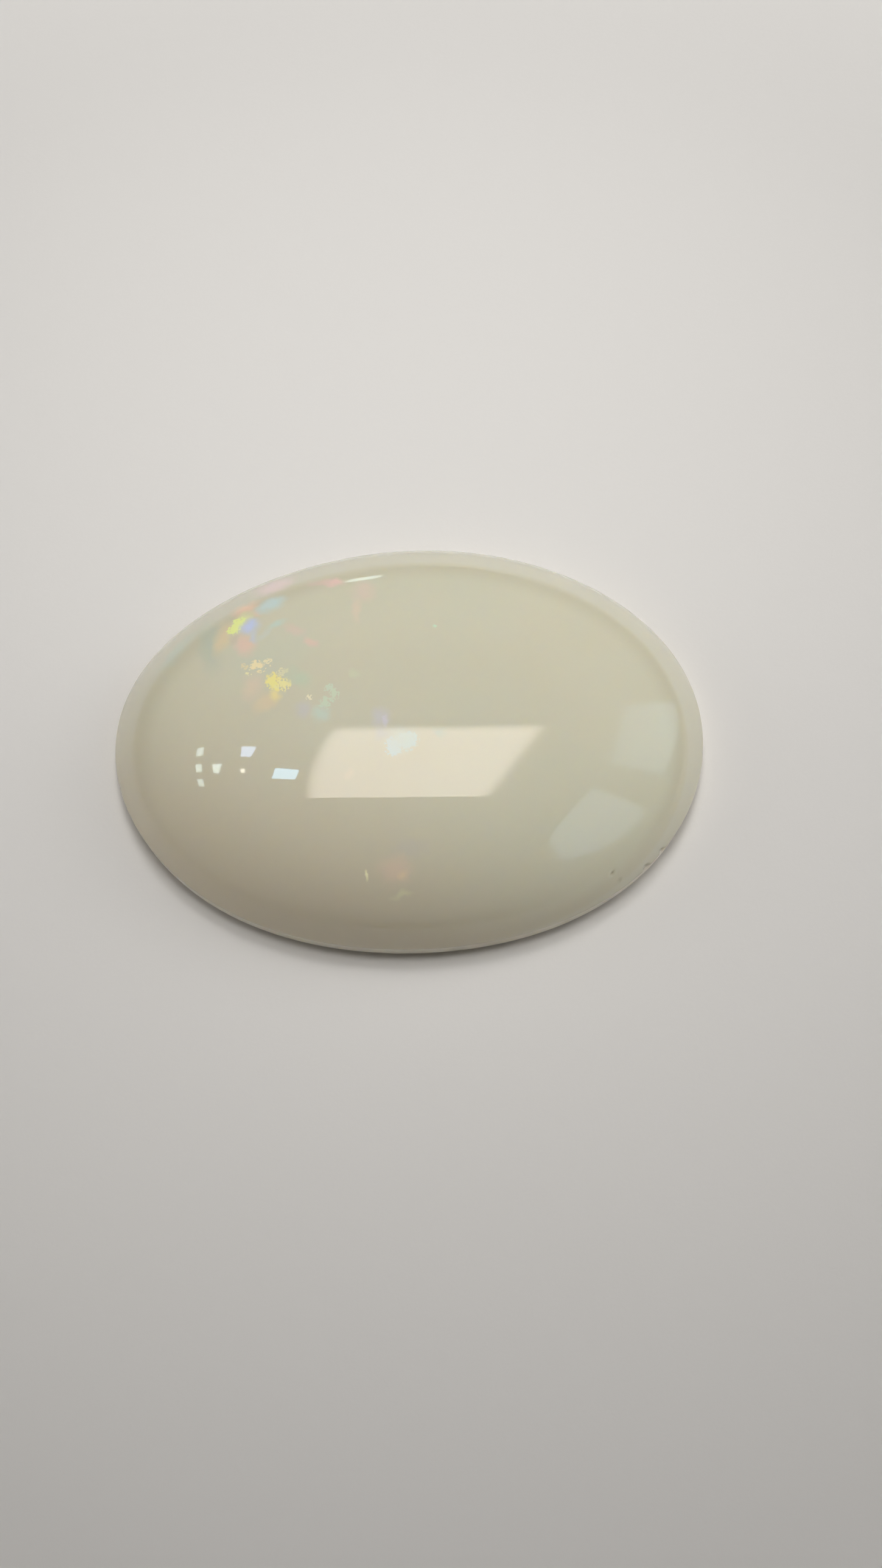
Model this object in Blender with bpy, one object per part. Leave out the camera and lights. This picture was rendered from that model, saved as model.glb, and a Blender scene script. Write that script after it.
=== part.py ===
"""Oval opal cabochon: one polished stone, 30 x 22 mm, lying on its flat base.

The crown is a low dome that ends in a crisp girdle edge. Below the edge a short, slightly drawn-in
side wall and a small bevel lead to the flat base. The plan is a hand-cut oval, so it is a little
fuller in some directions than an ellipse. X runs along the stone, Y across it and Z up, with the
origin on the table under the middle of the stone.
"""
import math

import bmesh
import bpy

STONE_NAME = "opal_cabochon"
LENGTH = 0.030
WIDTH = 0.022
CROWN_RISE = 0.0042
GIRDLE_HEIGHT = 0.0013

# The crown follows a superellipse quarter, cut off at this angle before its side turns upright.
CROWN_POWER = 2.8
CROWN_END_ANGLE = math.radians(74.0)

# How far the side below the girdle edge lies inside the widest outline, and how high, going down.
EDGE_WEAR = (0.00004, 0.00124)
WALL_FOOT = (0.00012, 0.00035)
BASE_EDGE = (0.00045, 0.0)

# Slow waves of the hand-cut oval: waves round the stone, and the cosine and sine share of the radius.
OUTLINE_WAVES = (
    (3, -0.0062, 0.0015),
    (4, -0.0032, -0.0020),
    (5, 0.0004, 0.0027),
)

SEGMENTS = 96
CROWN_ROWS = 30

OPAL_WHITE = (0.60, 0.56, 0.42, 1.0)
POLISHED_ROUGHNESS = 0.05


def clear_scene():
    """Remove every object that the file opened with."""
    for old in list(bpy.data.objects):
        bpy.data.objects.remove(old, do_unlink=True)


def outline_point(angle, inset=0.0):
    """Return the plan point of the oval in the given direction, moved in from the widest outline."""
    swell = 1.0
    for waves, cosine_share, sine_share in OUTLINE_WAVES:
        swell += cosine_share * math.cos(waves * angle) + sine_share * math.sin(waves * angle)
    half_length = LENGTH / 2 * swell - inset
    half_width = WIDTH / 2 * swell - inset
    return half_length * math.cos(angle), half_width * math.sin(angle)


def crown_profile(turn):
    """Return the share of the radius and the height at a turn of 0 (top) to 1 (girdle edge)."""
    angle = turn * CROWN_END_ANGLE
    power = 2.0 / CROWN_POWER
    reach = math.sin(angle) ** power / math.sin(CROWN_END_ANGLE) ** power
    drop_at_edge = math.cos(CROWN_END_ANGLE) ** power
    lift = (math.cos(angle) ** power - drop_at_edge) / (1.0 - drop_at_edge)
    return reach, GIRDLE_HEIGHT + CROWN_RISE * lift


def make_crown(mesh):
    """Shape the upper half of a sphere into the domed crown, open at the girdle edge."""
    bmesh.ops.create_uvsphere(mesh, u_segments=SEGMENTS, v_segments=2 * CROWN_ROWS, radius=1.0)
    half_a_row = math.sin(math.pi / (4 * CROWN_ROWS))
    lower_half = [vert for vert in mesh.verts if vert.co.z < -half_a_row]
    bmesh.ops.delete(mesh, geom=lower_half, context="VERTS")
    for vert in mesh.verts:
        angle = math.atan2(vert.co.y, vert.co.x)
        from_top = math.atan2(math.hypot(vert.co.x, vert.co.y), vert.co.z)
        reach, height = crown_profile(min(from_top / (math.pi / 2), 1.0))
        x, y = outline_point(angle)
        vert.co = (x * reach, y * reach, height)


def add_side_and_base(mesh):
    """Extrude the girdle edge down the side wall and the bevel, and close the flat base."""
    rim = [edge for edge in mesh.edges if edge.is_boundary]
    for inset, height in (EDGE_WEAR, WALL_FOOT, BASE_EDGE):
        grown = bmesh.ops.extrude_edge_only(mesh, edges=rim)["geom"]
        rim = [item for item in grown if isinstance(item, bmesh.types.BMEdge) and item.is_boundary]
        for vert in (item for item in grown if isinstance(item, bmesh.types.BMVert)):
            angle = math.atan2(vert.co.y / WIDTH, vert.co.x / LENGTH)
            x, y = outline_point(angle, inset)
            vert.co = (x, y, height)
    bmesh.ops.holes_fill(mesh, edges=rim)
    bmesh.ops.recalc_face_normals(mesh, faces=mesh.faces)


def bring_to_size(mesh):
    """Centre the stone over the origin and bring it to its full length and width."""
    for axis, full_size in ((0, LENGTH), (1, WIDTH)):
        low = min(vert.co[axis] for vert in mesh.verts)
        high = max(vert.co[axis] for vert in mesh.verts)
        for vert in mesh.verts:
            vert.co[axis] = (vert.co[axis] - (low + high) / 2) * full_size / (high - low)


def polished_opal():
    """Return the material of the stone: milky, slightly greenish white, with a glassy polish."""
    material = bpy.data.materials.new("polished_opal")
    material.use_nodes = True
    shader = material.node_tree.nodes["Principled BSDF"]
    shader.inputs["Base Color"].default_value = OPAL_WHITE
    shader.inputs["Roughness"].default_value = POLISHED_ROUGHNESS
    shader.inputs["Metallic"].default_value = 0.0
    return material


def make_stone(collection):
    """Build the cabochon and link it to the collection."""
    mesh = bmesh.new()
    make_crown(mesh)
    add_side_and_base(mesh)
    bring_to_size(mesh)
    data = bpy.data.meshes.new(STONE_NAME)
    mesh.to_mesh(data)
    mesh.free()
    data.materials.append(polished_opal())
    data.shade_smooth()
    data.set_sharp_from_angle(angle=math.radians(25.0))
    stone = bpy.data.objects.new(STONE_NAME, data)
    collection.objects.link(stone)
    return stone


def main():
    """Build the part in a collection of its own."""
    clear_scene()
    collection = bpy.data.collections.new(STONE_NAME)
    bpy.context.scene.collection.children.link(collection)
    make_stone(collection)


main()
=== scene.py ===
"""Looks of a polished oval opal cabochon on pale paper.

One piece stands for the solid: a fine mesh of the same stone, with its worn girdle edge, its chips and
the slight waviness that hand polishing leaves. Its finish is milky opal with play of colour inside.
Round it stand a paper floor, a plain backdrop, the lamps that light it, the panes and windows that its
polish mirrors, and the camera.
Lengths are in metres; places of colour flashes and chips are in millimetres on the stone.
"""
import logging
import math
from dataclasses import dataclass, field
from enum import Enum
from functools import cached_property

import bmesh
import bpy
from bmesh.types import BMesh, BMVert
from bpy.types import Material, Node, NodeSocket, NodeTree, Object
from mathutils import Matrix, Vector, noise


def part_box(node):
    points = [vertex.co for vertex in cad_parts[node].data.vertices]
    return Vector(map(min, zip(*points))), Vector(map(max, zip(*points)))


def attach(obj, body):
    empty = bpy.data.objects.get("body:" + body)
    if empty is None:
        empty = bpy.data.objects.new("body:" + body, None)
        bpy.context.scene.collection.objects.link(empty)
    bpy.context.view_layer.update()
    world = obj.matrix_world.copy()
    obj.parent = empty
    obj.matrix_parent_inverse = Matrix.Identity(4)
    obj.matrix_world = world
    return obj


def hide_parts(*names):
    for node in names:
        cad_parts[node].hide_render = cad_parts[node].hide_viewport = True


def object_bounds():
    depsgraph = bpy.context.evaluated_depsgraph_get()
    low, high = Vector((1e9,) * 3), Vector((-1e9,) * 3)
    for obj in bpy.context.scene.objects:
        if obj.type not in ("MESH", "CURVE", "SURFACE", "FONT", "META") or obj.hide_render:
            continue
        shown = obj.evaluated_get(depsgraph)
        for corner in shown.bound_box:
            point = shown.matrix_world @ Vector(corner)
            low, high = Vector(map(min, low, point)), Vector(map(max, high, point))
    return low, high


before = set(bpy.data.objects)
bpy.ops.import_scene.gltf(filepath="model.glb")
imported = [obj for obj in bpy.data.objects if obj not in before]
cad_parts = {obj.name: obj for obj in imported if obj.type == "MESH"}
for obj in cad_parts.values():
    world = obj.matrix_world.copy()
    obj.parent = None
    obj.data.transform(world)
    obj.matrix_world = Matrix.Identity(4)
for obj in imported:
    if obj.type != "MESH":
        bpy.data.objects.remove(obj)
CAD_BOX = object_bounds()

LOG = logging.getLogger("opal")
NODE = "opal_cabochon"
MM = 0.001
PHOTO_WIDTH = 1449
PHOTO_HEIGHT = 2576
Colour = tuple[float, float, float]
Pixel = tuple[float, float]
Span = tuple[float, float]


def smooth_step(low: float, high: float, value: float) -> float:
    """Return 0 below low, 1 above high, and a smooth rise between them.

    Args:
        low: Where the rise begins.
        high: Where the rise ends.
        value: The place to read.

    Returns:
        The height of the step at the value, 0 to 1.
    """
    share = min(max((value - low) / (high - low), 0.0), 1.0)
    return share * share * (3.0 - 2.0 * share)


def add_mesh(name: str, mesh: BMesh, material: Material) -> Object:
    """Turn a worked mesh into an object of the scene.

    Args:
        name: The name of the object and of its mesh.
        mesh: The worked mesh, which is freed.
        material: What the object is made of.

    Returns:
        The object.
    """
    data = bpy.data.meshes.new(name)
    mesh.to_mesh(data)
    mesh.free()
    data.materials.append(material)
    made = bpy.data.objects.new(name, data)
    bpy.context.scene.collection.objects.link(made)
    return made


def glowing(name: str, colour: Colour) -> Material:
    """Return a material that only glows, at a strength of one.

    Args:
        name: The material's name.
        colour: The colour of the glow.

    Returns:
        The material.
    """
    material = bpy.data.materials.new(name)
    material.use_nodes = True
    tree = material.node_tree
    tree.nodes.clear()
    light = tree.nodes.new("ShaderNodeEmission")
    light.inputs["Color"].default_value = (*colour, 1.0)
    output = tree.nodes.new("ShaderNodeOutputMaterial")
    tree.links.new(light.outputs["Emission"], output.inputs["Surface"])
    return material


@dataclass
class OvalPlan:
    """The hand-cut oval, seen from above: an ellipse with a few slow waves, true to its full size."""

    length: float
    width: float
    waves: tuple[tuple[int, float, float], ...] = (
        (3, -0.0062, 0.0015),
        (4, -0.0032, -0.0020),
        (5, 0.0004, 0.0027),
    )

    def swell(self, angle: float) -> float:
        """Return the factor that the ellipse's radius grows by in this direction.

        Args:
            angle: Direction round the stone, in radians.

        Returns:
            The factor, near 1.
        """
        total = 1.0
        for count, cosine_share, sine_share in self.waves:
            total += cosine_share * math.cos(count * angle) + sine_share * math.sin(count * angle)
        return total

    def raw_point(self, angle: float, reach: float, inset: float) -> tuple[float, float]:
        """Return the point before the oval is centred.

        Args:
            angle: Direction round the stone, in radians.
            reach: Share of the way from the middle to the outline.
            inset: How far inside the outline, in metres.

        Returns:
            The x and y of the point.
        """
        swell = self.swell(angle)
        x = (self.length / 2 * swell - inset) * math.cos(angle) * reach
        y = (self.width / 2 * swell - inset) * math.sin(angle) * reach
        return x, y

    @cached_property
    def fitting(self) -> tuple[tuple[float, float], tuple[float, float]]:
        """Return the raw oval's middle and the factor to full size, for x and for y.

        Returns:
            A pair of middle and factor for each axis.
        """
        steps = 720
        points = [self.raw_point(2 * math.pi * step / steps, 1.0, 0.0) for step in range(steps)]
        result = []
        for axis, full_size in ((0, self.length), (1, self.width)):
            low = min(point[axis] for point in points)
            high = max(point[axis] for point in points)
            result.append(((low + high) / 2, full_size / (high - low)))
        return tuple(result)

    def reach(self, x: float, y: float) -> float:
        """Return how far out a finished place lies, as a share of the way to the outline.

        Args:
            x: Place along the stone, in metres.
            y: Place across it, in metres.

        Returns:
            The share, 1 on the outline and more outside it.
        """
        raw_x, raw_y = (place / factor + middle for place, (middle, factor) in zip((x, y), self.fitting))
        angle = math.atan2(raw_y / self.width, raw_x / self.length)
        return 2.0 * math.hypot(raw_x / self.length, raw_y / self.width) / self.swell(angle)


@dataclass(frozen=True)
class CrownProfile:
    """The dome from its top to the girdle edge: part of a superellipse."""

    girdle_height: float = 1.3 * MM
    rise: float = 4.2 * MM
    power: float = 2.8
    end_angle: float = math.radians(74.0)

    def height(self, reach: float) -> float:
        """Return the height of the crown at a share of the radius from 0 to 1.

        Args:
            reach: Share of the way from the middle to the outline.

        Returns:
            The height above the table, in metres.
        """
        root = 2.0 / self.power
        sine = reach ** (1.0 / root) * math.sin(self.end_angle)
        low = math.cos(self.end_angle) ** root
        lift = (math.sqrt(max(1.0 - sine * sine, 0.0)) ** root - low) / (1.0 - low)
        return self.girdle_height + self.rise * lift


@dataclass(frozen=True)
class Chip:
    """A small flake broken out of the stone near its edge, in millimetres."""

    x: float
    y: float
    z: float
    radius: float
    depth: float


@dataclass
class Cabochon:
    """The stone itself: dome, worn girdle edge, side wall, bevel and flat base in one closed mesh.

    Wall foot and base edge are an inset from the widest outline and a height. The edge's rounding is
    the inset and the drop of each of its rows, as shares of its wear.
    """

    plan: OvalPlan
    crown: CrownProfile = field(default_factory=CrownProfile)
    grid: int = 264
    edge_crowding: float = math.radians(76.0)
    wall_foot: tuple[float, float] = (0.12 * MM, 0.35 * MM)
    base_edge: tuple[float, float] = (0.45 * MM, 0.0)
    edge_wear: float = 0.05 * MM
    edge_rounding: tuple[Span, Span] = ((0.15, 0.5), (0.5, 1.2))
    bevel_bulge: float = 0.03 * MM
    wall_rows: int = 6
    waviness: float = 0.0012 * MM
    wave_sizes: Span = (3.1 * MM, 1.3 * MM)
    wave_fade: float = 1.0 * MM
    chip_grain: float = 0.05 * MM
    chip_steepness: float = 1.6
    chip_raggedness: float = 0.5
    sharp_angle: float = math.radians(40.0)
    chips: tuple[Chip, ...] = (
        Chip(9.72, -7.86, 2.45, 0.16, 0.09),
        Chip(10.12, -8.02, 1.90, 0.14, 0.09),
        Chip(11.60, -7.22, 1.36, 0.27, 0.18),
        Chip(12.45, -6.35, 1.30, 0.25, 0.17),
        Chip(-14.70, -1.60, 1.30, 0.16, 0.09),
        Chip(-11.40, -7.30, 1.30, 0.12, 0.06),
        Chip(4.60, -10.70, 1.30, 0.11, 0.05),
        Chip(-5.90, -10.20, 1.30, 0.12, 0.05),
        Chip(14.10, 3.20, 1.30, 0.14, 0.07),
        Chip(-8.20, 9.10, 1.30, 0.13, 0.06),
    )

    def side_rows(self) -> list[tuple[float, float]]:
        """Return inset and height of each row below the crown, going down to the base edge.

        Returns:
            Pairs of inset and height, in metres.
        """
        top = self.crown.girdle_height
        rows = [(inset * self.edge_wear, top - drop * self.edge_wear) for inset, drop in self.edge_rounding]
        foot_inset, foot_height = self.wall_foot
        start_inset, start_height = rows[-1]
        for row in range(1, self.wall_rows + 1):
            share = row / self.wall_rows
            rows.append((start_inset + (foot_inset - start_inset) * share,
                         start_height + (foot_height - start_height) * share))
        base_inset, base_height = self.base_edge
        rows.append(((foot_inset + base_inset) / 2 - self.bevel_bulge, foot_height / 2 - self.bevel_bulge))
        rows.append((base_inset, base_height))
        return rows

    def grid_place(self, column: int, row: int) -> tuple[float, float]:
        """Return angle and reach of a vertex of the square grid that is bent into a disc.

        Args:
            column: Index along x, from 0 to grid.
            row: Index along y, from 0 to grid.

        Returns:
            The direction in radians and the share of the radius.
        """
        across = 2.0 * column / self.grid - 1.0
        along = 2.0 * row / self.grid - 1.0
        if across == 0.0 and along == 0.0:
            return 0.0, 0.0
        quarter = math.pi / 4
        if abs(across) >= abs(along):
            ring, angle = across, quarter * along / across
        else:
            ring, angle = along, 2 * quarter - quarter * across / along
        if ring < 0.0:
            ring, angle = -ring, angle + math.pi
        return angle, math.sin(ring * self.edge_crowding) / math.sin(self.edge_crowding)

    def build_crown(self, mesh: BMesh) -> list[BMVert]:
        """Make the dome as a square grid bent into a disc.

        Args:
            mesh: The mesh to add to.

        Returns:
            The vertices of the girdle edge, in order round the stone.
        """
        rows = []
        for row in range(self.grid + 1):
            line = []
            for column in range(self.grid + 1):
                angle, reach = self.grid_place(column, row)
                x, y = self.plan.raw_point(angle, reach, 0.0)
                line.append(mesh.verts.new((x, y, self.crown.height(reach))))
            rows.append(line)
        for low, high in zip(rows, rows[1:]):
            for column in range(self.grid):
                mesh.faces.new((low[column], low[column + 1], high[column + 1], high[column]))
        front = rows[0][:-1]
        right = [line[-1] for line in rows[:-1]]
        back = rows[-1][:0:-1]
        left = [line[0] for line in rows[:0:-1]]
        return front + right + back + left

    def build_side(self, mesh: BMesh, rim: list[BMVert]) -> None:
        """Add the worn edge, the wall, the bevel and the flat base below the rim.

        Args:
            mesh: The stone's mesh.
            rim: The vertices of the girdle edge, in order round the stone.
        """
        angles = [math.atan2(vert.co.y / self.plan.width, vert.co.x / self.plan.length) for vert in rim]
        count = len(rim)
        for inset, height in self.side_rows():
            lower = []
            for angle in angles:
                x, y = self.plan.raw_point(angle, 1.0, inset)
                lower.append(mesh.verts.new((x, y, height)))
            for start in range(count):
                end = (start + 1) % count
                mesh.faces.new((rim[start], lower[start], lower[end], rim[end]))
            rim = lower
        mesh.faces.new(list(reversed(rim)))

    def bring_to_size(self, mesh: BMesh) -> None:
        """Centre the oval over the origin and bring it to its full length and width.

        Args:
            mesh: The stone's mesh.
        """
        for axis, (middle, factor) in enumerate(self.plan.fitting):
            for vert in mesh.verts:
                vert.co[axis] = (vert.co[axis] - middle) * factor

    def crown_height(self, x: float, y: float) -> float:
        """Return the height of the even dome over a place of the plan, or of its edge outside it."""
        return self.crown.height(min(self.plan.reach(x, y), 1.0))

    def crown_normal(self, x: float, y: float) -> Vector:
        """Return the direction that the even dome faces at a place of the plan.

        Args:
            x: Place along the stone, in metres.
            y: Place across it, in metres.

        Returns:
            The unit vector.
        """
        step = 0.01 * MM
        slope_x = (self.crown_height(x + step, y) - self.crown_height(x - step, y)) / (2 * step)
        slope_y = (self.crown_height(x, y + step) - self.crown_height(x, y - step)) / (2 * step)
        return Vector((-slope_x, -slope_y, 1.0)).normalized()

    def break_chips(self, mesh: BMesh) -> None:
        """Push the surface in where small flakes have broken out of it.

        Args:
            mesh: The stone's mesh.
        """
        mesh.normal_update()
        for chip in self.chips:
            centre = Vector((chip.x, chip.y, chip.z)) * MM
            radius = chip.radius * MM
            near = [vert for vert in mesh.verts if (vert.co - centre).length < radius]
            for vert in near:
                share = 1.0 - (vert.co - centre).length / radius
                ragged = 0.75 + self.chip_raggedness * noise.noise(vert.co / self.chip_grain)
                sunk = chip.depth * MM * min(1.0, self.chip_steepness * share) * ragged
                vert.co -= vert.normal * sunk

    def add_waviness(self, mesh: BMesh) -> None:
        """Sink the dome by the slow, shallow waves that polishing by hand leaves.

        Args:
            mesh: The stone's mesh.
        """
        long_wave, short_wave = self.wave_sizes
        for vert in mesh.verts:
            if vert.co.z > self.crown.girdle_height:
                fade = smooth_step(0.0, self.wave_fade, vert.co.z - self.crown.girdle_height)
                wave = noise.noise(vert.co / long_wave) + 0.5 * noise.noise(vert.co / short_wave)
                vert.co.z -= self.waviness * fade * (1.0 + wave) / 2

    def build(self, finish: Material) -> Object:
        """Build the stone in its finish.

        Args:
            finish: The material of the stone.

        Returns:
            The stone.
        """
        mesh = bmesh.new()
        rim = self.build_crown(mesh)
        self.build_side(mesh, rim)
        self.bring_to_size(mesh)
        self.add_waviness(mesh)
        self.break_chips(mesh)
        bmesh.ops.recalc_face_normals(mesh, faces=mesh.faces)
        stone = add_mesh("opal_stone", mesh, finish)
        stone.data.shade_smooth()
        stone.data.set_sharp_from_angle(angle=self.sharp_angle)
        return stone


class FlashEdge(Enum):
    """How the border of a colour flash looks."""

    SOFT = "soft"
    JAGGED = "jagged"


@dataclass(frozen=True)
class Flash:
    """One patch of play of colour, in millimetres on the stone and turned in degrees."""

    name: str
    place: tuple[float, float, float]
    half_size: tuple[float, float]
    turn: float
    colour: Colour
    strength: float
    edge: FlashEdge = FlashEdge.SOFT


FLASHES = (
    Flash("green_haze", (-7.0, 3.6, 4.9), (3.0, 1.8), 20, (0.65, 0.69, 0.55), 0.36),
    Flash("teal_haze", (-9.9, 4.9, 4.0), (0.85, 2.1), 5, (0.58, 0.63, 0.51), 0.70),
    Flash("rim_teal", (-11.6, 4.9, 3.0), (1.6, 0.5), 52, (0.58, 0.67, 0.57), 0.45),
    Flash("rim_pink", (-6.65, 8.35, 3.25), (1.25, 0.75), 25, (0.82, 0.68, 0.63), 0.90),
    Flash("back_pink_tail", (-4.3, 8.10, 4.0), (0.80, 0.35), 5, (0.77, 0.64, 0.54), 0.65),
    Flash("back_pink", (-3.5, 7.92, 4.2), (0.72, 0.34), -12, (0.87, 0.66, 0.58), 1.00),
    Flash("side_pink", (-2.0, 7.15, 4.7), (0.75, 0.75), 0, (0.79, 0.67, 0.55), 0.80),
    Flash("side_pink_tail", (-2.5, 6.0, 4.95), (0.32, 1.0), 0, (0.80, 0.69, 0.54), 0.80),
    Flash("orange_top", (-8.1, 6.85, 3.75), (0.85, 0.52), 20, (0.87, 0.67, 0.51), 1.00),
    Flash("orange_right", (-7.5, 6.4, 4.1), (0.35, 0.35), 0, (0.82, 0.67, 0.51), 0.85),
    Flash("orange_left", (-9.25, 5.1, 4.1), (0.52, 1.25), -12, (0.80, 0.69, 0.47), 1.00),
    Flash("cyan_top", (-6.8, 6.85, 4.1), (0.95, 0.52), 18, (0.67, 0.77, 0.73), 1.00),
    Flash("pink_orange", (-8.1, 4.45, 4.6), (0.58, 0.82), 20, (0.84, 0.66, 0.53), 1.00),
    Flash("rosy_gap", (-8.65, 4.9, 4.4), (0.30, 0.35), 0, (0.71, 0.63, 0.49), 0.80),
    Flash("yellow_glow", (-8.35, 5.9, 4.1), (0.90, 0.50), 50, (0.86, 0.87, 0.50), 0.85),
    Flash("yellow_green", (-8.55, 5.72, 4.1), (0.66, 0.34), 52, (0.89, 0.98, 0.40), 1.00, FlashEdge.JAGGED),
    Flash("blue", (-7.83, 5.55, 4.4), (0.62, 0.56), 0, (0.66, 0.72, 0.88), 1.00),
    Flash("blue_low", (-7.65, 4.85, 4.6), (0.26, 0.50), 0, (0.69, 0.71, 0.72), 0.90),
    Flash("cyan_streak", (-6.5, 5.45, 4.6), (0.62, 0.36), 30, (0.66, 0.74, 0.63), 1.00),
    Flash("cyan_streak_low", (-7.1, 4.9, 4.7), (0.55, 0.20), 32, (0.70, 0.72, 0.62), 0.80),
    Flash("pink_streak", (-5.5, 5.0, 4.9), (0.65, 0.38), -35, (0.78, 0.66, 0.54), 0.80),
    Flash("pink_streak_low", (-4.7, 4.2, 5.15), (0.50, 0.30), -35, (0.82, 0.66, 0.54), 0.95),
    Flash("orange_side", (-7.75, 1.95, 5.05), (0.60, 1.00), -15, (0.81, 0.69, 0.53), 0.80),
    Flash("gold_tail_low", (-7.1, 0.95, 5.2), (0.85, 0.60), 45, (0.82, 0.70, 0.49), 0.85),
    Flash("gold_tail", (-6.62, 1.4, 5.2), (0.40, 0.48), 0, (0.92, 0.80, 0.42), 0.95),
    Flash("gold_bar", (-7.55, 3.15, 5.0), (0.40, 0.25), 12, (1.00, 0.85, 0.55), 1.00, FlashEdge.JAGGED),
    Flash("gold_bit_left", (-8.13, 3.15, 4.9), (0.16, 0.15), 0, (0.86, 0.77, 0.50), 0.90, FlashEdge.JAGGED),
    Flash("gold_bit_low", (-7.93, 2.70, 4.95), (0.13, 0.18), 0, (0.93, 0.88, 0.56), 0.95, FlashEdge.JAGGED),
    Flash("gold_bit_mid", (-7.27, 2.80, 5.05), (0.16, 0.13), 0, (0.94, 0.83, 0.54), 0.95, FlashEdge.JAGGED),
    Flash("gold_bit_right", (-6.90, 3.22, 5.05), (0.26, 0.15), 5, (0.92, 0.84, 0.58), 0.95, FlashEdge.JAGGED),
    Flash("gold_heart", (-6.65, 2.08, 5.2), (0.46, 0.52), 30, (1.00, 0.87, 0.37), 1.00, FlashEdge.JAGGED),
    Flash("gold_heart_side", (-6.2, 1.88, 5.2), (0.42, 0.34), 0, (0.98, 0.88, 0.46), 1.00, FlashEdge.JAGGED),
    Flash("gold_heart_top", (-6.2, 2.62, 5.2), (0.32, 0.18), 25, (0.87, 0.82, 0.56), 0.90, FlashEdge.JAGGED),
    Flash("gold_crack", (-6.42, 1.98, 5.2), (0.06, 0.42), 8, (0.82, 0.70, 0.42), 0.75, FlashEdge.JAGGED),
    Flash("fleck", (-4.97, 1.12, 5.4), (0.13, 0.16), 0, (0.94, 0.88, 0.66), 1.00, FlashEdge.JAGGED),
    Flash("green_side", (-5.4, 2.2, 5.3), (0.90, 0.58), -35, (0.65, 0.71, 0.54), 0.85),
    Flash("hook_top", (-3.9, 1.55, 5.4), (0.32, 0.17), 10, (0.72, 0.79, 0.62), 0.95, FlashEdge.JAGGED),
    Flash("hook_right", (-3.65, 1.20, 5.4), (0.20, 0.36), 0, (0.73, 0.79, 0.60), 0.95, FlashEdge.JAGGED),
    Flash("hook_middle", (-4.1, 0.72, 5.4), (0.36, 0.32), 30, (0.72, 0.79, 0.61), 0.95, FlashEdge.JAGGED),
    Flash("hook_low", (-4.35, 0.15, 5.4), (0.42, 0.55), -25, (0.69, 0.76, 0.65), 0.90),
    Flash("lavender_low", (-5.2, 0.4, 5.4), (0.60, 0.48), 0, (0.69, 0.67, 0.63), 0.70),
    Flash("faint_green", (-2.6, 2.3, 5.4), (0.45, 0.33), -20, (0.73, 0.76, 0.55), 0.60),
    Flash("green_dot", (1.55, 4.8, 5.25), (0.09, 0.12), 0, (0.68, 0.86, 0.66), 0.90),
    Flash("lavender_middle", (-1.35, -0.25, 5.5), (0.60, 0.58), 0, (0.72, 0.70, 0.68), 0.85),
    Flash("lavender_edge", (-1.07, -0.42, 5.5), (0.15, 0.38), 0, (0.78, 0.75, 0.78), 0.85),
    Flash("cyan_left", (-0.85, -1.85, 5.5), (0.40, 0.55), 15, (0.67, 0.78, 0.76), 0.85, FlashEdge.JAGGED),
    Flash("cyan_right", (-0.15, -1.50, 5.5), (0.60, 0.55), 35, (0.67, 0.77, 0.71), 0.85, FlashEdge.JAGGED),
    Flash("cyan_haze", (-0.45, -1.45, 5.5), (0.95, 0.75), 35, (0.70, 0.75, 0.66), 0.75),
    Flash("pale_left", (-1.35, -1.1, 5.5), (0.50, 0.45), 0, (0.66, 0.66, 0.62), 0.60),
    Flash("green_middle", (1.55, -1.15, 5.5), (0.42, 0.35), 0, (0.64, 0.69, 0.56), 0.85),
    Flash("orange_spot", (-3.05, -3.15, 5.4), (0.34, 0.38), 0, (0.79, 0.69, 0.52), 0.50),
    Flash("front_grey", (-0.2, -7.0, 4.8), (1.00, 0.62), 8, (0.68, 0.64, 0.52), 0.95),
    Flash("front_pink", (-1.0, -7.95, 4.4), (0.98, 0.80), 0, (0.80, 0.66, 0.51), 0.80),
    Flash("front_orange", (-0.60, -8.2, 4.3), (0.32, 0.30), 0, (0.84, 0.70, 0.50), 0.85),
    Flash("front_yellow", (-2.36, -8.02, 4.3), (0.09, 0.32), 8, (1.00, 0.96, 0.66), 1.00),
    Flash("front_green", (-0.70, -9.0, 3.8), (0.62, 0.20), 5, (0.77, 0.74, 0.51), 0.80),
)


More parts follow.
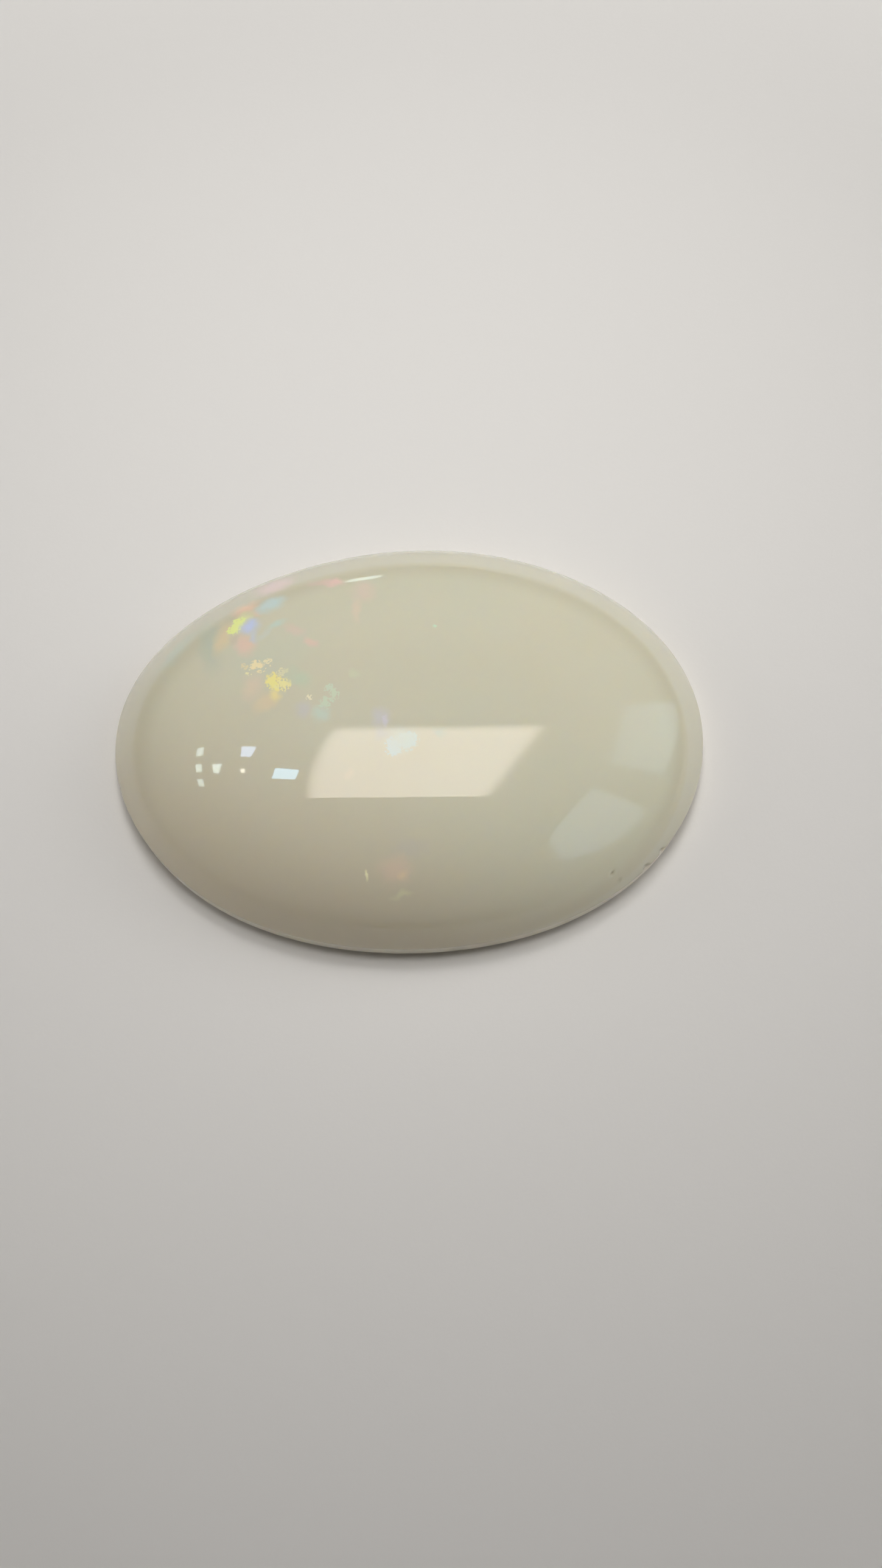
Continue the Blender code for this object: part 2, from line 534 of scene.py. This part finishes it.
@dataclass(frozen=True)
class OpalFinish:
    """Milky opal: a glassy polish over a cloudy body, with flashes of colour inside it.

    The darker ring towards the edge is painted shade, and the paler, bluer band outside it is a
    painted reflection of what the rim mirrors, laid over that shade. Both lie a little higher at the
    back, by the rim's tilt. Each pair of heights is where a colour begins and where it is whole, going down.
    """

    body: Colour = (0.745, 0.715, 0.55)
    warm_cloud: Colour = (0.74, 0.70, 0.53)
    cool_cloud: Colour = (0.725, 0.71, 0.55)
    # painted shade: the body darker and browner towards the front left edge, which faces away from the light
    front_shade: Colour = (0.69, 0.615, 0.465)
    # painted shade: a darker ring towards the edge
    shoulder_shade: Colour = (0.685, 0.65, 0.49)
    # painted reflection: the paler, bluer band that the rim mirrors, laid over the painted shade
    rim: Colour = (0.695, 0.67, 0.535)
    rim_tilt: float = 0.12
    ground_edge: Colour = (0.68, 0.63, 0.51)
    ground_wall: Colour = (0.87, 0.81, 0.68)
    shoulder_shade_heights: Span = (3.70 * MM, 2.95 * MM)
    rim_reflection_heights: Span = (2.85 * MM, 2.60 * MM)
    worn_heights: Span = (1.40 * MM, 1.27 * MM)
    wall_heights: Span = (1.25 * MM, 1.18 * MM)
    cloud_size: float = 9.0 * MM
    cloud_detail: float = 4.0
    cloud_steps: tuple[float, float, float] = (0.30, 0.50, 0.72)
    front_heading: tuple[float, float, float] = (-0.45, -0.89, 0.0)
    front_reach: Span = (2.0 * MM, 13.0 * MM)
    polish: float = 0.016
    ground_roughness: float = 0.42
    grinding_size: float = 0.05 * MM
    grinding_detail: float = 5.0
    grinding_depth: float = 0.01 * MM
    refraction: float = 1.45
    shine: float = 0.8
    milkiness: float = 0.55
    glow_depth: tuple[float, float, float] = (1.0, 0.85, 0.55)
    flash_lift: float = 1.04
    flash_depth: float = 2.5 * MM
    soft_fall: Span = (1.25, 0.15)
    jagged_fall: Span = (1.05, 0.70)
    swirl_size: float = 0.9 * MM
    swirl_detail: float = 3.0
    swirl_reach: float = 0.8 * MM
    facet_size: float = 0.12 * MM
    facet_reach: float = 0.26 * MM
    flashes: tuple[Flash, ...] = FLASHES

    def material(self) -> Material:
        """Build the finish as a node tree.

        Returns:
            The material of the stone.
        """
        material = bpy.data.materials.new("opal")
        material.use_nodes = True
        tree = material.node_tree
        shader = tree.nodes["Principled BSDF"]
        shader.inputs["IOR"].default_value = self.refraction
        shader.inputs["Specular IOR Level"].default_value = self.shine
        shader.inputs["Subsurface Weight"].default_value = self.milkiness
        shader.inputs["Subsurface Radius"].default_value = self.glow_depth
        shader.inputs["Subsurface Scale"].default_value = MM
        place = tree.nodes.new("ShaderNodeTexCoord").outputs["Object"]
        clouded = self.clouds(tree, place)
        # painted shade in a darker ring towards the edge
        shoulder_shading = self.below(tree, place, self.shoulder_shade_heights, self.rim_tilt)
        # painted reflection in the band along the rim
        rim_reflecting = self.below(tree, place, self.rim_reflection_heights, self.rim_tilt)
        shoulder_shaded = mix_colour(tree, shoulder_shading, clouded, self.shoulder_shade)
        rim_reflected = mix_colour(tree, rim_reflecting, shoulder_shaded, self.rim)
        # painted shade, darker and browner towards the front left edge
        front_shaded = mix_colour(tree, self.front_shading(tree, place), rim_reflected, self.front_shade)
        flashing = self.play_of_colour(tree, place, front_shaded)
        worn = self.below(tree, place, self.worn_heights)
        edged = mix_colour(tree, worn, flashing, self.ground_edge)
        walled = mix_colour(tree, self.below(tree, place, self.wall_heights), edged, self.ground_wall)
        tree.links.new(walled, shader.inputs["Base Color"])
        gloss = tree.nodes.new("ShaderNodeMapRange")
        gloss.inputs["To Min"].default_value = self.polish
        gloss.inputs["To Max"].default_value = self.ground_roughness
        tree.links.new(worn, gloss.inputs["Value"])
        tree.links.new(gloss.outputs["Result"], shader.inputs["Roughness"])
        self.ground_bump(tree, place, worn, shader)
        return material

    def clouds(self, tree: NodeTree, place: NodeSocket) -> NodeSocket:
        """Drift the body colour slowly between a warmer and a cooler milk.

        Args:
            tree: The material's nodes.
            place: Where on the stone, in object coordinates.

        Returns:
            The clouded colour.
        """
        haze = tree.nodes.new("ShaderNodeTexNoise")
        haze.inputs["Scale"].default_value = 1.0 / self.cloud_size
        haze.inputs["Detail"].default_value = self.cloud_detail
        tree.links.new(place, haze.inputs["Vector"])
        ramp = tree.nodes.new("ShaderNodeValToRGB")
        elements = ramp.color_ramp.elements
        elements.new(self.cloud_steps[1])
        for element, position, colour in zip(elements, self.cloud_steps,
                                             (self.warm_cloud, self.body, self.cool_cloud)):
            element.position = position
            element.color = (*colour, 1.0)
        tree.links.new(haze.outputs["Fac"], ramp.inputs["Fac"])
        return ramp.outputs["Color"]

    def play_of_colour(self, tree: NodeTree, place: NodeSocket, colour: NodeSocket) -> NodeSocket:
        """Lay every flash over the body colour.

        Args:
            tree: The material's nodes.
            place: Where on the stone, in object coordinates.
            colour: The colour that the flashes lie in.

        Returns:
            The colour with its flashes.
        """
        bent = {
            FlashEdge.SOFT: self.bend_softly(tree, place),
            FlashEdge.JAGGED: self.bend_in_facets(tree, place),
        }
        fall = {FlashEdge.SOFT: self.soft_fall, FlashEdge.JAGGED: self.jagged_fall}
        for flash in self.flashes:
            frame_in = tree.nodes.new("ShaderNodeMapping")
            frame_in.vector_type = "TEXTURE"
            frame_in.inputs["Location"].default_value = [part * MM for part in flash.place]
            frame_in.inputs["Rotation"].default_value = (0.0, 0.0, math.radians(flash.turn))
            half_length, half_width = flash.half_size
            frame_in.inputs["Scale"].default_value = (half_length * MM, half_width * MM, self.flash_depth)
            tree.links.new(bent[flash.edge], frame_in.inputs["Vector"])
            distance = tree.nodes.new("ShaderNodeVectorMath")
            distance.operation = "LENGTH"
            tree.links.new(frame_in.outputs["Vector"], distance.inputs[0])
            share = rise_between(tree, distance.outputs["Value"], fall[flash.edge], flash.strength)
            shining = tuple(part * self.flash_lift for part in flash.colour)
            colour = mix_colour(tree, share, colour, shining)
        return colour

    def bend_softly(self, tree: NodeTree, place: NodeSocket) -> NodeSocket:
        """Return the place moved by a slow swirl, for flashes with smoky borders.

        Args:
            tree: The material's nodes.
            place: Where on the stone, in object coordinates.

        Returns:
            The moved place.
        """
        swirl = tree.nodes.new("ShaderNodeTexNoise")
        swirl.inputs["Scale"].default_value = 1.0 / self.swirl_size
        swirl.inputs["Detail"].default_value = self.swirl_detail
        tree.links.new(place, swirl.inputs["Vector"])
        return shift_place(tree, place, swirl.outputs["Color"], self.swirl_reach)

    def bend_in_facets(self, tree: NodeTree, place: NodeSocket) -> NodeSocket:
        """Return the place moved cell by cell, for flashes with broken, angular borders.

        Args:
            tree: The material's nodes.
            place: Where on the stone, in object coordinates.

        Returns:
            The moved place.
        """
        cells = tree.nodes.new("ShaderNodeTexVoronoi")
        cells.inputs["Scale"].default_value = 1.0 / self.facet_size
        tree.links.new(place, cells.inputs["Vector"])
        return shift_place(tree, place, cells.outputs["Color"], self.facet_reach)

    def below(self, tree: NodeTree, place: NodeSocket, heights: Span, tilt: float = 0.0) -> NodeSocket:
        """Return a share that rises from 0 to 1 going down the stone.

        Args:
            tree: The material's nodes.
            place: Where on the stone, in object coordinates.
            heights: The heights at which the share begins to rise and is whole, in metres.
            tilt: How much higher both lie for each metre towards the back.

        Returns:
            The share.
        """
        height = tree.nodes.new("ShaderNodeVectorMath")
        height.operation = "DOT_PRODUCT"
        height.inputs[1].default_value = (0.0, -tilt, 1.0)
        tree.links.new(place, height.inputs[0])
        return rise_between(tree, height.outputs["Value"], heights)

    def front_shading(self, tree: NodeTree, place: NodeSocket) -> NodeSocket:
        """Return how far painted shade turns the body darker and browner towards the stone's front left edge.

        Args:
            tree: The material's nodes.
            place: Where on the stone, in object coordinates.

        Returns:
            The share, 0 to 1.
        """
        along = tree.nodes.new("ShaderNodeVectorMath")
        along.operation = "DOT_PRODUCT"
        along.inputs[1].default_value = self.front_heading
        tree.links.new(place, along.inputs[0])
        return rise_between(tree, along.outputs["Value"], self.front_reach)

    def ground_bump(self, tree: NodeTree, place: NodeSocket, worn: NodeSocket, shader: Node) -> None:
        """Roughen the ground side and base with fine grinding marks.

        Args:
            tree: The material's nodes.
            place: Where on the stone, in object coordinates.
            worn: How far the surface is ground and not polished.
            shader: The shader that the marks go to.
        """
        marks = tree.nodes.new("ShaderNodeTexNoise")
        marks.inputs["Scale"].default_value = 1.0 / self.grinding_size
        marks.inputs["Detail"].default_value = self.grinding_detail
        tree.links.new(place, marks.inputs["Vector"])
        bump = tree.nodes.new("ShaderNodeBump")
        bump.inputs["Distance"].default_value = self.grinding_depth
        tree.links.new(worn, bump.inputs["Strength"])
        tree.links.new(marks.outputs["Fac"], bump.inputs["Height"])
        tree.links.new(bump.outputs["Normal"], shader.inputs["Normal"])


def mix_colour(tree: NodeTree, share: NodeSocket, first: NodeSocket, second: Colour) -> NodeSocket:
    """Mix a fixed colour over another by a share.

    Args:
        tree: The material's nodes.
        share: How much of the second colour shows, 0 to 1.
        first: The colour underneath.
        second: The fixed colour on top.

    Returns:
        The mixed colour.
    """
    mix = tree.nodes.new("ShaderNodeMix")
    mix.data_type = "RGBA"
    tree.links.new(share, mix.inputs["Factor"])
    tree.links.new(first, mix.inputs["A"])
    mix.inputs["B"].default_value = (*second, 1.0)
    return mix.outputs["Result"]


def rise_between(tree: NodeTree, value: NodeSocket, span: Span, top: float = 1.0) -> NodeSocket:
    """Return a smooth rise from 0 at the span's first value to the top at its second.

    Args:
        tree: The nodes of the material or of the world.
        value: The value that the rise follows.
        span: Where the rise begins and where it is whole.
        top: The height of the rise.

    Returns:
        The risen share.
    """
    share = tree.nodes.new("ShaderNodeMapRange")
    share.interpolation_type = "SMOOTHSTEP"
    share.inputs["From Min"].default_value, share.inputs["From Max"].default_value = span
    share.inputs["To Max"].default_value = top
    tree.links.new(value, share.inputs["Value"])
    return share.outputs["Result"]


def shift_place(tree: NodeTree, place: NodeSocket, pattern: NodeSocket, reach: float) -> NodeSocket:
    """Move a place by a pattern's colour.

    Args:
        tree: The material's nodes.
        place: The place to move.
        pattern: A colour whose three parts lie round a half.
        reach: How far a full part moves the place, in metres.

    Returns:
        The moved place.
    """
    centred = tree.nodes.new("ShaderNodeVectorMath")
    centred.operation = "SUBTRACT"
    centred.inputs[1].default_value = (0.5, 0.5, 0.5)
    tree.links.new(pattern, centred.inputs[0])
    scaled = tree.nodes.new("ShaderNodeVectorMath")
    scaled.operation = "MULTIPLY_ADD"
    scaled.inputs[1].default_value = (reach, reach, reach)
    tree.links.new(centred.outputs["Vector"], scaled.inputs[0])
    tree.links.new(place, scaled.inputs[2])
    return scaled.outputs["Vector"]


def direction(azimuth: float, elevation: float) -> Vector:
    """Return the unit vector that points in a direction given in degrees.

    Args:
        azimuth: Turn from +Y towards +X.
        elevation: Lift above the table.

    Returns:
        The vector.
    """
    turn = math.radians(azimuth)
    lift = math.radians(elevation)
    return Vector((math.sin(turn) * math.cos(lift), math.cos(turn) * math.cos(lift), math.sin(lift)))


@dataclass(frozen=True)
class MirrorTracer:
    """Finds what the polished crown mirrors towards the camera at a place in the photograph."""

    stone: Cabochon
    camera: Object
    halvings: int = 40

    def view_ray(self, pixel: Pixel) -> Vector:
        """Return the unit vector from the camera through a pixel of the photograph.

        Args:
            pixel: Place in the photograph, in its pixels.

        Returns:
            The vector, in the scene's frame.
        """
        data = self.camera.data
        scale = data.sensor_height / (PHOTO_HEIGHT * data.lens)
        across = (pixel[0] - PHOTO_WIDTH / 2) * scale
        up = (PHOTO_HEIGHT / 2 - pixel[1]) * scale
        return (self.camera.matrix_world.to_3x3() @ Vector((across, up, -1.0))).normalized()

    def meet_crown(self, ray: Vector) -> Vector:
        """Return where a ray from the camera meets the dome, found by halving the way down.

        Args:
            ray: The unit vector of the ray.

        Returns:
            The point on the even dome.
        """
        eye = self.camera.location
        low_height = self.stone.crown.girdle_height
        above = (eye.z - low_height - self.stone.crown.rise) / -ray.z
        below = (eye.z - low_height) / -ray.z
        for _ in range(self.halvings):
            middle = (above + below) / 2
            place = eye + ray * middle
            if place.z > self.stone.crown_height(place.x, place.y):
                above = middle
            else:
                below = middle
        return eye + ray * below

    def mirrored(self, pixel: Pixel, distance: float) -> Vector:
        """Follow the view through a pixel to the crown and on to what is mirrored there.

        Args:
            pixel: Place in the photograph, in its pixels.
            distance: How far beyond the crown to go, in metres.

        Returns:
            The mirrored point.
        """
        ray = self.view_ray(pixel)
        place = self.meet_crown(ray)
        return place + ray.reflect(self.stone.crown_normal(place.x, place.y)) * distance


def along_side(points: tuple[Pixel, ...], share: float) -> Vector:
    """Return the place at a share of a side with two points, or of a curved side with three.

    Args:
        points: The side's points, in pixels of the photograph.
        share: How far along the side, 0 to 1.

    Returns:
        The place, in pixels.
    """
    ends = [Vector(point) for point in points]
    if len(ends) == 2:
        return ends[0].lerp(ends[1], share)
    first, middle, last = ends
    return (first * (1 - share) * (1 - 2 * share) + middle * 4 * share * (1 - share)
            + last * share * (2 * share - 1))


@dataclass(frozen=True)
class GlowPanel:
    """A lamp or window pane that the polish mirrors, placed by its image in the photograph.

    Left and right are the sides of the image from top to bottom, in pixels of the photograph, each with
    two points, or three where it is curved. The soft sides say which share of the panel fades out at
    the top, right, bottom and left.
    """

    name: str
    left: tuple[Pixel, ...]
    right: tuple[Pixel, ...]
    colour: Colour
    brightness: float
    soft_sides: tuple[float, float, float, float] = (0.0, 0.0, 0.0, 0.0)
    distance: float = 0.40
    steps: int = 16

    def fade(self, across: float, along: float) -> float:
        """Return how bright the panel is at a share across and along it.

        Args:
            across: Share of the way from the left to the right side.
            along: Share of the way from the top to the bottom.

        Returns:
            The share of the full brightness.
        """
        value = 1.0
        for inside, width in zip((along, 1.0 - across, 1.0 - along, across), self.soft_sides):
            if width > 0.0:
                value *= smooth_step(0.0, width, inside)
        return value

    def build(self, tracer: MirrorTracer) -> Object:
        """Build the glowing panel where the crown mirrors it. The camera itself doesn't see it.

        Args:
            tracer: Finds the mirrored points.

        Returns:
            The panel.
        """
        mesh = bmesh.new()
        glow = mesh.verts.layers.float.new("glow")
        rows = []
        for row in range(self.steps + 1):
            along = row / self.steps
            start = along_side(self.left, along)
            end = along_side(self.right, along)
            line = []
            for column in range(self.steps + 1):
                across = column / self.steps
                vert = mesh.verts.new(tracer.mirrored(tuple(start.lerp(end, across)), self.distance))
                vert[glow] = self.fade(across, along)
                line.append(vert)
            rows.append(line)
        for low, high in zip(rows, rows[1:]):
            for column in range(self.steps):
                mesh.faces.new((low[column], low[column + 1], high[column + 1], high[column]))
        panel = add_mesh(self.name, mesh, self.material())
        panel.visible_camera = False
        panel.visible_shadow = False
        panel.visible_diffuse = False
        return panel

    def material(self) -> Material:
        """Build the panel's light, which follows its fade.

        Returns:
            The material of the panel.
        """
        material = glowing(self.name, self.colour)
        tree = material.node_tree
        fade = tree.nodes.new("ShaderNodeAttribute")
        fade.attribute_name = "glow"
        level = tree.nodes.new("ShaderNodeMath")
        level.operation = "MULTIPLY"
        level.inputs[1].default_value = self.brightness
        tree.links.new(fade.outputs["Fac"], level.inputs[0])
        tree.links.new(level.outputs["Value"], tree.nodes["Emission"].inputs["Strength"])
        return material


CREAM = (1.0, 0.89, 0.80)
SKY = (0.46, 0.76, 1.0)
HAZY_SKY = (0.52, 0.68, 1.0)
DAYLIGHT = (0.80, 1.0, 0.98)
LAMPLIGHT = (1.0, 0.95, 0.80)
PALE_GREEN = (0.62, 0.87, 1.05)

PANELS = (
    GlowPanel("ceiling_panel", ((545, 1190), (509, 1250), (498, 1311)), ((918, 1186), (818, 1308)),
              CREAM, 4.3, (0.12, 0.10, 0.0, 0.06), steps=28),
    GlowPanel("pane_high", ((324, 1230), (322, 1243)), ((335, 1227), (334, 1241)), DAYLIGHT, 5.2),
    GlowPanel("pane_middle", ((321, 1256), (322, 1269)), ((331, 1255), (332, 1269)), DAYLIGHT, 5.8),
    GlowPanel("pane_low", ((323, 1280), (327, 1292)), ((333, 1280), (336, 1292)), DAYLIGHT, 5.2),
    GlowPanel("pane_inner", ((348, 1256), (351, 1270)), ((365, 1255), (359, 1271)), DAYLIGHT, 7.0),
    GlowPanel("pane_top", ((397, 1226), (395, 1243)), ((422, 1227), (412, 1244)), HAZY_SKY, 8.5),
    GlowPanel("lamp_dot", ((395, 1263), (396, 1270)), ((402, 1263), (402, 1270)), LAMPLIGHT, 10.0),
    GlowPanel("pane_wide", ((452, 1262), (446, 1279)), ((492, 1265), (485, 1281)), SKY, 9.2),
    GlowPanel("window_back", ((1030, 1157), (1017, 1205), (999, 1258)),
              ((1106, 1150), (1117, 1200), (1089, 1278)), PALE_GREEN, 1.15, (0.03, 0.06, 0.03, 0.0)),
    GlowPanel("window_back_post", ((1032, 1160), (1012, 1225)), ((1044, 1160), (1025, 1225)),
              PALE_GREEN, 0.9, (0.1, 0.4, 0.5, 0.0)),
    GlowPanel("window_back_strip", ((1092, 1235), (1084, 1272)), ((1098, 1235), (1091, 1274)),
              PALE_GREEN, 1.4, (0.5, 0.3, 0.0, 0.3)),
    GlowPanel("window_front", ((978, 1290), (934, 1337), (898, 1383)),
              ((1067, 1326), (1017, 1383), (914, 1418)), PALE_GREEN, 1.2, (0.03, 0.08, 0.03, 0.0)),
    GlowPanel("window_front_post", ((976, 1296), (934, 1340), (900, 1384)),
              ((986, 1300), (946, 1347), (908, 1396)), PALE_GREEN, 0.9, (0.2, 0.4, 0.0, 0.0)),
    GlowPanel("back_slit", ((560, 953), (561, 960)), ((634, 942), (635, 948)), DAYLIGHT, 4.2,
              (0.3, 0.3, 0.3, 0.3)),
)


@dataclass(frozen=True)
class SoftLamp:
    """A lamp that lights the stone and the floor and leaves no mirror image in the polish.

    Azimuth, elevation and spread are in degrees.
    """

    name: str
    azimuth: float
    elevation: float
    power: float
    size: float = 0.26
    distance: float = 0.40
    spread: float = 180.0
    colour: Colour = (1.0, 1.0, 1.0)
    aim: tuple[float, float, float] = (0.0, 0.0, 0.0)

    def build(self) -> Object:
        """Build the lamp and turn it to its aim.

        Returns:
            The lamp.
        """
        data = bpy.data.lights.new(self.name, "AREA")
        data.shape = "SQUARE"
        data.size = self.size
        data.energy = self.power
        data.color = self.colour
        data.spread = math.radians(self.spread)
        lamp = bpy.data.objects.new(self.name, data)
        away = direction(self.azimuth, self.elevation)
        lamp.location = Vector(self.aim) + away * self.distance
        lamp.rotation_euler = away.to_track_quat("Z", "Y").to_euler()
        lamp.visible_glossy = False
        bpy.context.scene.collection.objects.link(lamp)
        return lamp


BEHIND_STONE = (0.0, 0.024, 0.0)

LAMPS = (
    SoftLamp("ceiling_lamp", 6.0, 67.0, 0.0106, size=0.10, distance=0.25, spread=34.0, aim=BEHIND_STONE),
    SoftLamp("overhead_lamp", 6.0, 90.0, 0.0117, size=0.10, distance=0.25, spread=34.0, aim=BEHIND_STONE),
    SoftLamp("window_lamp", 65.0, 42.0, 0.235),
    SoftLamp("low_right_lamp", 75.0, 20.0, 0.320),
    SoftLamp("low_left_lamp", -75.0, 20.0, 0.265),
)


@dataclass(frozen=True)
class PaperFloor:
    """The plain pale floor that the stone lies on."""

    half_size: float = 1.5
    gap: float = 0.005 * MM
    colour: Colour = (0.82, 0.795, 0.76)
    roughness: float = 0.8
    shine: float = 0.2
    grain: float = 0.25 * MM
    grain_detail: float = 6.0
    grain_depth: float = 0.02 * MM
    grain_strength: float = 0.25
    far_table: Span = (42.0 * MM, 92.0 * MM)
    far_glow: float = 0.40
    glow_colour: Colour = (1.0, 0.97, 0.93)

    def material(self) -> Material:
        """Build matt paper with a faint grain.

        Returns:
            The material of the floor.
        """
        material = bpy.data.materials.new("paper")
        material.use_nodes = True
        tree = material.node_tree
        shader = tree.nodes["Principled BSDF"]
        shader.inputs["Base Color"].default_value = (*self.colour, 1.0)
        shader.inputs["Roughness"].default_value = self.roughness
        shader.inputs["Specular IOR Level"].default_value = self.shine
        place = tree.nodes.new("ShaderNodeTexCoord").outputs["Object"]
        fibres = tree.nodes.new("ShaderNodeTexNoise")
        fibres.inputs["Scale"].default_value = 1.0 / self.grain
        fibres.inputs["Detail"].default_value = self.grain_detail
        tree.links.new(place, fibres.inputs["Vector"])
        bump = tree.nodes.new("ShaderNodeBump")
        bump.inputs["Strength"].default_value = self.grain_strength
        bump.inputs["Distance"].default_value = self.grain_depth
        tree.links.new(fibres.outputs["Fac"], bump.inputs["Height"])
        tree.links.new(bump.outputs["Normal"], shader.inputs["Normal"])
        self.light_far_table(tree, place, shader)
        return material

    def light_far_table(self, tree: NodeTree, place: NodeSocket, shader: Node) -> None:
        """Let the table glow beyond the lamps' light, so that it stays bright out there.

        The stone's rim mirrors that part of it.

        Args:
            tree: The material's nodes.
            place: Where on the floor, in object coordinates.
            shader: The shader that glows.
        """
        reach = tree.nodes.new("ShaderNodeVectorMath")
        reach.operation = "LENGTH"
        tree.links.new(place, reach.inputs[0])
        glow = rise_between(tree, reach.outputs["Value"], self.far_table, self.far_glow)
        shader.inputs["Emission Color"].default_value = (*self.glow_colour, 1.0)
        tree.links.new(glow, shader.inputs["Emission Strength"])

    def build(self) -> Object:
        """Build the floor just under the stone's base.

        Returns:
            The floor.
        """
        mesh = bmesh.new()
        bmesh.ops.create_grid(mesh, x_segments=1, y_segments=1, size=self.half_size)
        floor = add_mesh("paper_floor", mesh, self.material())
        floor.location.z = CAD_BOX[0][2] - self.gap
        return floor


@dataclass(frozen=True)
class Backdrop:
    """A plain pale dome far round the stone, which only the camera sees."""

    radius: float = 1.4
    rows: int = 32
    colour: Colour = (0.51, 0.495, 0.475)

    def build(self) -> Object:
        """Build the dome, which neither lights the stone nor shows in its polish.

        Returns:
            The dome.
        """
        mesh = bmesh.new()
        bmesh.ops.create_uvsphere(mesh, u_segments=2 * self.rows, v_segments=self.rows, radius=self.radius)
        half_a_row = self.radius * math.sin(math.pi / (2 * self.rows))
        lower_half = [vert for vert in mesh.verts if vert.co.z < -half_a_row]
        bmesh.ops.delete(mesh, geom=lower_half, context="VERTS")
        backdrop = add_mesh("backdrop", mesh, glowing("backdrop", self.colour))
        backdrop.visible_diffuse = False
        backdrop.visible_glossy = False
        backdrop.visible_transmission = False
        backdrop.visible_shadow = False
        return backdrop


@dataclass(frozen=True)
class PhotoCamera:
    """The camera of the photograph: close above the stone, looking down from the front."""

    azimuth: float = -2.55
    elevation: float = 68.0
    distance: float = 133.97 * MM
    target: tuple[float, float] = (1.528 * MM, -1.700 * MM)
    lens: float = 60.0
    long_side: float = 36.0
    sight: Span = (1.0 * MM, 10.0)

    def build(self) -> Object:
        """Build the camera and make it the scene's.

        Returns:
            The camera.
        """
        data = bpy.data.cameras.new("photo_camera")
        data.sensor_fit = "VERTICAL"
        data.sensor_height = self.long_side
        data.sensor_width = self.long_side * PHOTO_WIDTH / PHOTO_HEIGHT
        data.lens = self.lens
        data.clip_start, data.clip_end = self.sight
        camera = bpy.data.objects.new("photo_camera", data)
        away = direction(180.0 - self.azimuth, self.elevation)
        camera.location = Vector((*self.target, 0.0)) + away * self.distance
        camera.rotation_euler = away.to_track_quat("Z", "Y").to_euler()
        bpy.context.scene.collection.objects.link(camera)
        bpy.context.scene.camera = camera
        return camera


@dataclass(frozen=True)
class Room:
    """The dim light of the room: bright above and behind the stone, darker towards the camera.

    Each side of the room is a list of heights (0 at the horizon, 1 overhead) with the light there.
    """

    colour: Colour = (1.0, 0.97, 0.92)
    behind_stone: tuple[tuple[float, float], ...] = (
        (0.50, 0.0), (0.62, 0.215), (1.0, 0.215))
    behind_camera: tuple[tuple[float, float], ...] = (
        (0.10, 0.0), (0.16, 0.16), (0.50, 0.16), (0.62, 0.0))
    turning: float = 0.3

    def side(self, tree: NodeTree, height: NodeSocket,
             heights: tuple[tuple[float, float], ...]) -> NodeSocket:
        """Return the light of one side of the room.

        Args:
            tree: The world's nodes.
            height: The height in the room, 0 at the horizon and 1 overhead.
            heights: Pairs of height and light.

        Returns:
            The light.
        """
        ramp = tree.nodes.new("ShaderNodeValToRGB")
        while len(ramp.color_ramp.elements) < len(heights):
            ramp.color_ramp.elements.new(0.5)
        for element, (position, level) in zip(ramp.color_ramp.elements, heights):
            element.position = position
            element.color = (level, level, level, 1.0)
        tree.links.new(height, ramp.inputs["Fac"])
        return ramp.outputs["Color"]

    def build(self) -> None:
        """Set the world's light and plain colour handling."""
        world = bpy.data.worlds.new("room")
        world.use_nodes = True
        tree = world.node_tree
        glow = tree.nodes["Background"]
        glow.inputs["Color"].default_value = (*self.colour, 1.0)
        parts = tree.nodes.new("ShaderNodeSeparateXYZ")
        tree.links.new(tree.nodes.new("ShaderNodeTexCoord").outputs["Generated"], parts.inputs["Vector"])
        turn = rise_between(tree, parts.outputs["Y"], (-self.turning, self.turning))
        both = tree.nodes.new("ShaderNodeMix")
        tree.links.new(turn, both.inputs["Factor"])
        tree.links.new(self.side(tree, parts.outputs["Z"], self.behind_camera), both.inputs["A"])
        tree.links.new(self.side(tree, parts.outputs["Z"], self.behind_stone), both.inputs["B"])
        tree.links.new(both.outputs["Result"], glow.inputs["Strength"])
        bpy.context.scene.world = world
        bpy.context.scene.view_settings.view_transform = "Standard"


def main() -> None:
    """Build the stone, its finish and everything round it."""
    logging.basicConfig(level=logging.INFO, format="%(name)s: %(message)s")
    low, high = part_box(NODE)
    cabochon = Cabochon(OvalPlan(high[0] - low[0], high[1] - low[1]))
    stone = cabochon.build(OpalFinish().material())
    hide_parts(NODE)
    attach(stone, "root")
    LOG.info("%s: %d faces", stone.name, len(stone.data.polygons))
    for maker in (PaperFloor(), Backdrop(), *LAMPS):
        LOG.info("%s is in place", maker.build().name)
    camera = PhotoCamera().build()
    bpy.context.view_layer.update()
    tracer = MirrorTracer(cabochon, camera)
    for panel in PANELS:
        LOG.info("%s is in place", panel.build(tracer).name)
    Room().build()


if __name__ == "__main__":
    main()
